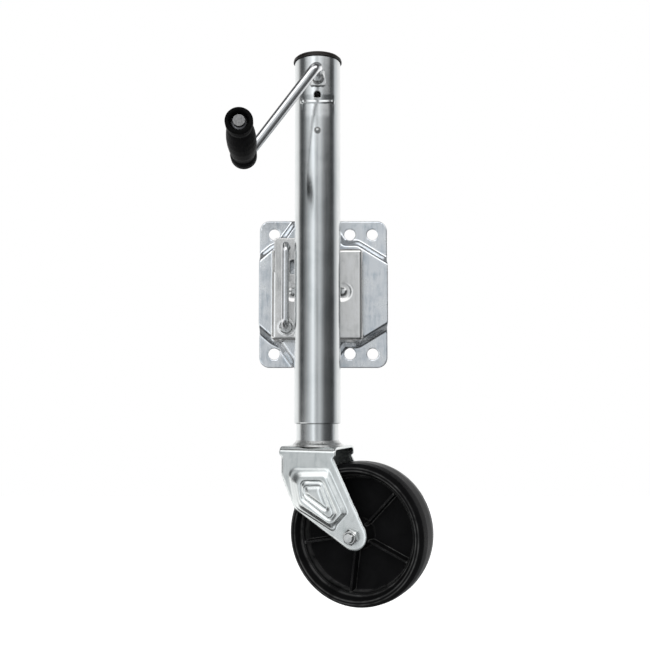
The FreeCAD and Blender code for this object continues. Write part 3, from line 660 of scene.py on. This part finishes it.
def bracket_pressing():
    """Tray with bent walls, a flat tab at its upper left, dished round the rivets and collar."""
    low, high = box_mm("swivel_bracket")
    flat_low = np.array((low[0], low[2])) + PAN_REACH
    flat_high = np.array((high[0], PAN_TOP)) - PAN_REACH
    x0, z0 = flat_low - PAN_SPREAD
    x1, z1 = flat_high + PAN_SPREAD
    blank = rounded([(x0, z0, PAN_SPREAD), (x1, z0, PAN_SPREAD), (x1, z1, PAN_SPREAD),
                     (NOTCH_RIGHT, z1, 1.0), (NOTCH_RIGHT, NOTCH_FOOT, 0.8),
                     (TAB_RIGHT, NOTCH_FOOT, 0.8), (TAB_RIGHT, TAB_TOP, 6.0),
                     (TAB_LEFT, TAB_TOP, 3.0), (TAB_LEFT, TAB_FOOT, 0.8),
                     (SLIT_LEFT, TAB_FOOT, 0.8), (SLIT_LEFT, SLIT_TOP, 1.0), (x0, SLIT_TOP, 3.0)])
    slot = rounded([(-38.0, 20.0, 2.0), (-29.0, 20.0, 2.0), (-29.0, 36.0, 2.0), (-38.0, 36.0, 2.0)])
    pin_x, collar_z = LOCK_HOLE_AT
    holes = [slot, circle(pin_x, collar_z, COLLAR_HOLE_R, 32),
             circle(pin_x, PIN_HOLE_Z, PIN_HOLE_R, 28)]
    holes += [circle(x, 0, RIVET_HOLE_R, 28) for x in RIVETS_X]
    holes += [circle(x, flat_low[1] - RELIEF_DOWN, RELIEF_R, 16) for x in RELIEF_X]

    def place(points):
        on_tab = (points[:, 0] < TAB_RIGHT + 1) & (points[:, 1] > TAB_FOOT)
        on_tab &= points[:, 0] > TAB_LEFT - 0.1
        nearest = np.where(on_tab[:, None], points, np.clip(points, flat_low, flat_high))
        away = points - nearest
        reach = np.linalg.norm(away, axis=1)
        outward = away / np.maximum(reach, 1e-9)[:, None]
        bend = np.clip(reach / PAN_BEND_R, 0, PAN_BEND)
        fall = np.maximum(0, reach - PAN_BEND_R * PAN_BEND)
        side = nearest + outward * (PAN_BEND_R * np.sin(bend) + fall * math.cos(PAN_BEND))[:, None]
        depth = PAN_BEND_R * (1 - np.cos(bend)) + fall * math.sin(PAN_BEND)
        for x in RIVETS_X:
            off = np.hypot(side[:, 0] - x, side[:, 1])
            depth += RIVET_DISH * smooth((RIVET_DISH_R - off) / 5.0)
        off = np.hypot(side[:, 0] - pin_x, side[:, 1] - collar_z)
        depth += COLLAR_DISH * smooth((COLLAR_DISH_R - off) / 3.0)
        return np.column_stack([side[:, 0], low[1] + depth, side[:, 1]])

    shape = pressed_sheet([blank] + holes, 1.5, PAN_T, place, edge=0.5)
    piece("bracket_pressing", shape, pan_zinc, "jack", "bracket_zinc", "swivel_bracket")


bracket_pressing()


# --- caster fork ---------------------------------------------------------------------
FORK_FLAT = FORK_HALF - FORK_BEND_R
FORK_BEND = FORK_BEND_R * math.pi / 2
CHEEK_TOP = FORK_TOP - FORK_BEND_R
AXLE_HOLE_ALONG, AXLE_HOLE_Z, AXLE_HOLE_R = 50.3, -261.3, 5.3
RELIEF_ALONG, RELIEF_MIDDLE_Z, RELIEF_REACH = (-24, 48), -226, 36


def across_at(z):
    """Distance across the fork's blank at which its cheek comes to a height."""
    return FORK_FLAT + FORK_BEND + CHEEK_TOP - z


def cheek_line(corners):
    """Outline on one cheek: (along the trail, height, corner radius)."""
    return rounded(corners[::-1])


def fork_blank():
    """Developed outline of the whole fork, (along the trail, distance across the top)."""
    lip = FORK_FLAT + FORK_BEND + 2.5
    half = [(31.5, lip, 2.5), (29.6, lip + 2.4, 2.0), (89.0, across_at(-303.4), 15.0),
            (-15.0, across_at(-236.8), 12.0), (-30.2, across_at(-202.5), 18.0),
            (-30.2, lip + 2.4, 2.0), (-32.4, lip, 2.5)]
    return rounded(half + [(x, -s, r) for x, s, r in reversed(half)])


def cheek_relief(side):
    """Height of the stepped pressing on a cheek, from points (along the trail, height)."""
    outer = cheek_line([(-22.5, -193.0, 9), (24.5, -191.5, 7), (46.8, -236.5, 4), (35.0, -249.5, 6),
                        (31.5, -258.5, 5), (-14.0, -234.5, 14)])
    crest = cheek_line([(-19.6, -195.6, 10), (23.8, -193.6, 8), (45.0, -235.8, 5),
                        (33.4, -248.6, 6), (30.2, -255.8, 5), (-12.0, -233.2, 14)])
    table = cheek_line([(-10.5, -200.2, 6), (22.0, -198.6, 5), (40.2, -234.4, 5), (29.2, -245.6, 5),
                        (-5.5, -226.0, 9)])
    groove = cheek_line([(-5.6, -204.4, 5), (18.0, -203.6, 5), (33.0, -235.6, 4), (27.2, -243.0, 4),
                         (-3.8, -221.5, 6)])
    core = cheek_line([(-1.2, -209.6, 2.5), (15.8, -208.6, 3), (26.2, -234.6, 2),
                       (-1.2, -217.8, 2.5)])
    climbed = np.maximum(0, -signed_distance(side, crest))
    ahead = np.maximum(0, signed_distance(side, table))
    in_core = signed_distance(side, core)
    height = 0.9 * smooth(-signed_distance(side, outer) / 2.0)
    height += 2.4 * smooth(climbed / np.maximum(climbed + ahead, 1e-6))
    height -= 1.5 * np.exp(-(signed_distance(side, groove) / 1.2) ** 2)
    height -= 1.7 * np.exp(-((in_core - 0.2) / 1.2) ** 2)
    height -= 1.0 * smooth(-in_core / 1.5)
    return height + 0.26 * np.clip(-in_core, 0, 4.0)


def fork_pressing():
    """Blank bent down at both sides, with the relief pressed into its cheeks and a rolled edge."""
    blank = fork_blank()

    def place(points):
        along, across = points[:, 0], points[:, 1]
        sign = np.sign(across)
        past = np.abs(across) - FORK_FLAT
        bend = np.clip(past / FORK_BEND_R, 0, math.pi / 2)
        drop = np.maximum(0, past - FORK_BEND)
        height = softened(cheek_relief, np.column_stack([along, CHEEK_TOP - drop]), 1.1)
        rolled = np.clip(1 + signed_distance(points, blank) / 3.2, 0, 1)
        height -= 2.4 * (1 - np.sqrt(1 - 0.64 * rolled ** 2)) * smooth(drop / 6.0)
        reach = FORK_BEND_R + height
        spread = np.where(past > 0, sign * (FORK_FLAT + reach * np.sin(bend)), across)
        top = FORK_TOP - (1 - np.cos(bend)) * reach - drop + height * (past <= 0)
        return (TUBE_AXIS + along[:, None] * TRAIL_DIR + spread[:, None] * AXLE_DIR
                + top[:, None] * UP)

    holes, zones = [], []
    for side in (-1, 1):
        holes.append(circle(AXLE_HOLE_ALONG, side * across_at(AXLE_HOLE_Z), AXLE_HOLE_R, 28))
        middle = side * across_at(RELIEF_MIDDLE_Z)
        zones.append(((RELIEF_ALONG[0], middle - RELIEF_REACH),
                      (RELIEF_ALONG[1], middle + RELIEF_REACH), 0.9))
    shape = pressed_sheet([blank] + holes, 1.6, FORK_T, place, zones)
    piece("fork_pressing", shape, fork_zinc, "caster", "fork_zinc", "caster_fork")


fork_pressing()


# --- outer tube ------------------------------------------------------------------------
CRIMP_HALF_TURN, CRIMP_SAG, CRIMP_END_Z = math.radians(45), 3.0, 204.6
CRIMP_LEVELS = [189.0, 203.2, 203.8, 204.9, 206.9, 207.4, 213.0]
CRIMP_DEPTHS = [0.0, -0.45, -0.45, 0.0, -0.50, -0.50, 0.0]
SHAFT_Z, SHAFT_HOLE_R, GREASE_Z, GREASE_HOLE_R = 228.1, 8.1, 170.7, 2.3
VENT_LOW, VENT_HIGH, VENT_HALF = 207.5, 214.1, 3.45


def crimp(around, z):
    """Offset of the stamped crease that carries the thrust plate, with a bump at each end."""
    turn = np.abs(around) / TUBE_R
    level = z + CRIMP_SAG * np.maximum(0, 1 - (turn / CRIMP_HALF_TURN) ** 2)
    line = np.interp(level, CRIMP_LEVELS, CRIMP_DEPTHS)
    line = line * smooth((CRIMP_HALF_TURN - turn) / 0.08)
    end = np.hypot(np.abs(around) - TUBE_R * (CRIMP_HALF_TURN - 0.05), z - CRIMP_END_Z)
    return line + 1.1 * smooth(1.7 - end / 1.5)


def tube_skin():
    """Tube rolled up from a flat blank, with its crimp, vent and two round holes."""
    columns = 84
    half = math.pi * TUBE_R
    step = 2 * half / columns * 1.00001  # a hair over, so that rounding adds no column
    low, high = TUBE_LOW[2], TUBE_HIGH[2]
    blank = np.array([(-half, low), (half, low), (half, high), (-half, high)])
    vent = rounded([(-VENT_HALF, VENT_LOW, 0.4), (VENT_HALF, VENT_LOW, 0.4),
                    (VENT_HALF, VENT_HIGH, 3.3), (-VENT_HALF, VENT_HIGH, 3.3)], 0.5)
    holes = [vent, circle(0, GREASE_Z, GREASE_HOLE_R, 20), circle(0, SHAFT_Z, SHAFT_HOLE_R, 36)]

    def place(points):
        turn = points[:, 0] / TUBE_R
        radius = TUBE_R + crimp(points[:, 0], points[:, 1])
        return TUBE_AXIS + np.column_stack([radius * np.sin(turn), -radius * np.cos(turn),
                                            points[:, 1]])

    crimp_zone = ((-24, 195), (24, 216), 0.7)
    shape = pressed_sheet([blank] + holes, step, TUBE_WALL, place, [crimp_zone], TUBE_AXIS, 0.5)
    piece("tube_skin", shape, tube_zinc, "jack", "tube_zinc", "outer_tube")


tube_skin()


# --- crank bushing and grease fitting -----------------------------------------------------
BUSHING_HALF, BUSHING_BORE, BUSHING_NECK, BUSHING_COLLAR, COLLAR_OUT = 8.5, 5.75, 7.9, 7.1, 1.2


def bushing():
    """Square flange standing just off the tube, with a round collar round the crank rod."""
    front = box_mm("crank_bushing_front")[0][1]
    side, bore, neck_r = BUSHING_HALF, BUSHING_BORE, BUSHING_NECK
    square = rounded([(TUBE_X - side, SHAFT_Z - side, 1.6), (TUBE_X + side, SHAFT_Z - side, 1.6),
                      (TUBE_X + side, SHAFT_Z + side, 1.6), (TUBE_X - side, SHAFT_Z + side, 1.6)])

    def place(points):
        away = np.hypot(points[:, 0] - TUBE_X, points[:, 1] - SHAFT_Z)
        collar = COLLAR_OUT * smooth((BUSHING_COLLAR - away) / 0.8)
        return np.column_stack([points[:, 0], front + COLLAR_OUT - collar, points[:, 1]])

    flange = pressed_sheet([square, circle(TUBE_X, SHAFT_Z, bore, 36)], 0.7, 2.2, place, edge=0.5)
    neck = lathe([(bore, 2.0), (neck_r, 2.0), (neck_r, 8.6), (bore, 8.6)],
                 np.array((TUBE_X, front, SHAFT_Z)), (0, 1, 0), 40)
    piece("bushing", joined(flange, neck), hardware, "jack", "hardware_zinc",
          "crank_bushing_front")


def nipple():
    """Grease nipple: a ball in a groove, inside a round rim; distances are from the tube's axis."""
    profile = [(0.0, 24.0), (2.2, 24.0), (2.2, 24.9), (3.7, 24.9), (3.7, 26.2), (3.4, 26.5),
               (2.9, 26.2), (2.4, 25.2), (1.8, 25.2), (1.9, 26.6), (1.7, 27.3), (0.9, 27.8),
               (0.0, 27.8)]
    shape = lathe(profile, TUBE_AXIS + UP * GREASE_Z, (0, -1, 0), 36)
    piece("nipple", shape, hardware, "jack", "hardware_zinc", "grease_fitting", angle=35)


bushing()
nipple()


# --- axle nut and bolt ------------------------------------------------------------------------
NUT_FLATS, NUT_HEIGHT, NUT_BORE, NUT_TURN = 14.6, 5.8, 4.9, 12
HEAD_FLATS, HEAD_HEIGHT, HEAD_DIMPLE = 16.0, 6.4, 0.6
SHANK_R, THREAD_R, THREAD_DEPTH, THREAD_PITCH = 4.75, 4.8, 0.55, 1.25
THREAD_LENGTH, THREAD_FROM = 8.4, 3.0


def hex_nut(across_flats, height, bore, base, axis, turn_deg):
    """Nut with chamfered corners on its outer face."""
    apothem = across_flats / 2
    angles = full_turn(48)
    reach = apothem / np.cos((angles + math.pi / 6) % (math.pi / 3) - math.pi / 6)
    spokes = spokes_at(axis, angles + math.radians(turn_deg))
    chamfer = height - 0.5 - (reach - apothem) * 0.6
    level = np.zeros_like(reach)
    rings = [(reach, level), (reach, chamfer), (reach - 0.25, chamfer + 0.25),
             (level + apothem - 0.7, level + height), (level + bore + 0.5, level + height),
             (level + bore, level + height - 0.6), (level + bore, level)]
    return loft([base + spokes * r[:, None] + axis * h[:, None] for r, h in rings])


def axle_hardware():
    """Lock nut with an insert crown on the near cheek; the bolt's head is on the far one."""
    near, far = AXLE - AXLE_DIR * FORK_HALF, AXLE + AXLE_DIR * FORK_HALF
    out = -AXLE_DIR
    nut = hex_nut(NUT_FLATS, NUT_HEIGHT, NUT_BORE, near, out, NUT_TURN)
    crown = lathe([(NUT_BORE, 5.6), (6.6, 5.6), (6.9, 6.0), (6.9, 7.2), (6.2, 7.9), (5.4, 7.9),
                   (NUT_BORE, 7.4)], near, out, 48)
    piece("lock_nut", joined(nut, crown), hardware, "caster", "hardware_zinc", "axle_nut", angle=30)
    thread_base = near + out * THREAD_FROM
    tip = threaded(THREAD_R, THREAD_DEPTH, THREAD_PITCH, THREAD_LENGTH, thread_base, out)
    shank = bar(circle(0, 0, SHANK_R), thread_base, far, TRAIL_DIR, UP)
    head = hex_nut(HEAD_FLATS, HEAD_HEIGHT, HEAD_DIMPLE, far, AXLE_DIR, 0)
    piece("hex_bolt", joined(tip, shank, head), hardware, "caster", "hardware_zinc", "axle_bolt",
          angle=30)


axle_hardware()


# --- wheel --------------------------------------------------------------------------------------
WHEEL_R, HUB_R, HUB_BORE = 74.95, 13.0, 7.05
RIBS, RIB_TURN, RIB_FROM, RIB_TO = 5, -47.2, 12.5, 59.8


def wheel_body():
    """Rounded tread, a stepped rim lip on each side, a thin web, ribs and a long hub."""
    half = [(HUB_BORE, 26.0, 0.3), (HUB_R, 26.0, 0.8), (14.0, 13.0, 0.8), (16.0, 2.6, 1.2),
            (58.6, 2.6, 1.6), (60.2, 14.2, 0.8), (62.0, 15.0, 0.8), (65.9, 24.5, 1.3),
            (70.2, 24.5, 2.2), (73.7, 18.4, 5.0), (WHEEL_R, 8.0, 8.0)]
    profile = rounded(half + [(r, -h, c) for r, h, c in reversed(half)], 0.6)
    shape = [lathe(profile, AXLE, -AXLE_DIR, 144)]
    section = rounded([(-1.7, 0.0, 0.0), (1.7, 0.0, 0.0), (1.15, 14.6, 0.9),
                       (-1.15, 14.6, 0.9)], 0.4)
    for k in range(RIBS):
        turn = math.radians(RIB_TURN + 360.0 / RIBS * k)
        outward = math.cos(turn) * TRAIL_DIR - math.sin(turn) * UP
        sideways = math.sin(turn) * TRAIL_DIR + math.cos(turn) * UP
        start, end = AXLE + outward * RIB_FROM, AXLE + outward * RIB_TO
        shape += [bar(section, start, end, sideways, face * AXLE_DIR) for face in (-1, 1)]
    piece("wheel_body", joined(*shape), wheel_black, "caster_wheel", "wheel_black", "wheel",
          angle=35)


wheel_body()


# --- stage: floor, light and camera -----------------------------------------------
def stage():
    """Pale floor just under the fully lowered wheel; it glows a little where the camera sees it."""
    floor_z = CAD_BOUNDS[0][2] - JOINTS["leg_slide"]["range_m"][1]
    mesh = bpy.data.meshes.new("floor")
    corners = [(-FLOOR_HALF, -FLOOR_HALF), (FLOOR_HALF, -FLOOR_HALF),
               (FLOOR_HALF, FLOOR_HALF), (-FLOOR_HALF, FLOOR_HALF)]
    mesh.from_pydata([(x, y, floor_z) for x, y in corners], [], [(0, 1, 2, 3)])
    floor = bpy.data.objects.new("floor", mesh)
    bpy.context.scene.collection.objects.link(floor)
    material, nodes, shader, coords = new_material("floor_pale", Roughness=0.9)
    link = material.node_tree.links.new
    tone = nodes.ramp(nodes.noise(coords, 3.0),
                      [(0.3, (0.86, 0.86, 0.86)), (0.7, (0.89, 0.89, 0.89))])
    link(tone, shader.inputs["Base Color"])
    glow = nodes.math("MULTIPLY", nodes.add("LightPath").outputs["Is Camera Ray"], FLOOR_GLOW)
    link(glow, shader.inputs["Emission Strength"])
    shader.inputs["Emission Color"].default_value = (1.0, 1.0, 1.0, 1.0)
    mesh.materials.append(material)
    floor.visible_glossy = False


def studio_world():
    """White surround behind the object, a dark ring at its sides, and lights on the camera's side.

    The lights are soft patches of the world: a lamp above, a fill low on the left, and a faint one
    overhead. All of them depend only on the direction of the light.
    """
    world = bpy.data.worlds.new("studio")
    bpy.context.scene.world = world
    world.use_nodes = True
    tree = world.node_tree
    nodes = Nodes(tree)
    split = nodes.add("SeparateXYZ", {"Vector": nodes.add("TexCoord").outputs["Generated"]})
    x, y, z = (split.outputs[k] for k in "XYZ")
    toward = nodes.math("MULTIPLY", y, -1.0)
    polar = nodes.span(nodes.math("ARCCOSINE", toward), 0.0, math.pi, 0.0, 1.0)
    turn = nodes.span(nodes.math("ARCTAN2", x, toward), -math.pi, math.pi, 0.0, 1.0)
    front = nodes.ramp(turn, [((a + 180) / 360, (v * 0.97, v, v * 1.03)) for a, v in FRONT_STOPS])
    shell = nodes.ramp(polar, [(a / 180, (v, v, v)) for a, v in POLAR_STOPS])
    level = nodes.math("MULTIPLY", nodes.span(nodes.math("ABSOLUTE", z), 0.36, 0.52, 1.0, 0.22),
                       nodes.span(z, 0.26, 0.34, 1.0, 1.4))
    front = nodes.shaded(front, level)
    above = nodes.math("MULTIPLY", nodes.span(z, -0.42, -0.22, 0.22, 1.0),
                       nodes.span(z, 0.36, 0.52, 1.0, 0.12))
    shell = nodes.shaded(shell, above)
    colour = nodes.mix(1.0, front, shell, "LIGHTEN")
    lamp = nodes.math("MULTIPLY", nodes.between(z, LAMP_LOW, LAMP_HIGH, 0.06, 0.06),
                      nodes.span(toward, 0.35, 0.50, 0.0, 1.0))
    colour = nodes.mix(lamp, colour, (LAMP, LAMP, LAMP * 1.01))
    start, end = ((a + 180) / 360 for a in FILL_TURN)
    fill = nodes.math("MULTIPLY", nodes.between(turn, start, end, 0.02, 0.02),
                      nodes.between(z, FILL_LOW, FILL_HIGH, 0.06, 0.02))
    colour = nodes.mix(fill, colour, (FILL, FILL, FILL))
    overhead = nodes.math("MULTIPLY", nodes.span(z, OVERHEAD_LOW, OVERHEAD_LOW + 0.08, 0.0, 1.0),
                          nodes.span(x, -0.20, -0.10, 1.0, 0.0))
    colour = nodes.mix(overhead, colour, (OVERHEAD, OVERHEAD, OVERHEAD))
    seen = nodes.add("LightPath").outputs["Is Camera Ray"]
    colour = nodes.mix(seen, colour, (1.0, 1.0, 1.0))
    strength = nodes.add("Background", {"Color": colour, "Strength": 1.0})
    tree.links.new(strength.outputs[0], tree.nodes["World Output"].inputs[0])


def camera():
    """Camera in front of the jack, a little low and tilted up."""
    data = bpy.data.cameras.new("camera")
    data.sensor_width = 36.0
    data.lens = CAMERA_LENS
    view = bpy.data.objects.new("camera", data)
    view.location = CAMERA_AT
    view.rotation_euler = (math.pi / 2 + CAMERA_TILT, 0.0, 0.0)
    bpy.context.scene.collection.objects.link(view)
    bpy.context.scene.camera = view


stage()
studio_world()
camera()
bpy.context.scene.view_settings.view_transform = "Standard"
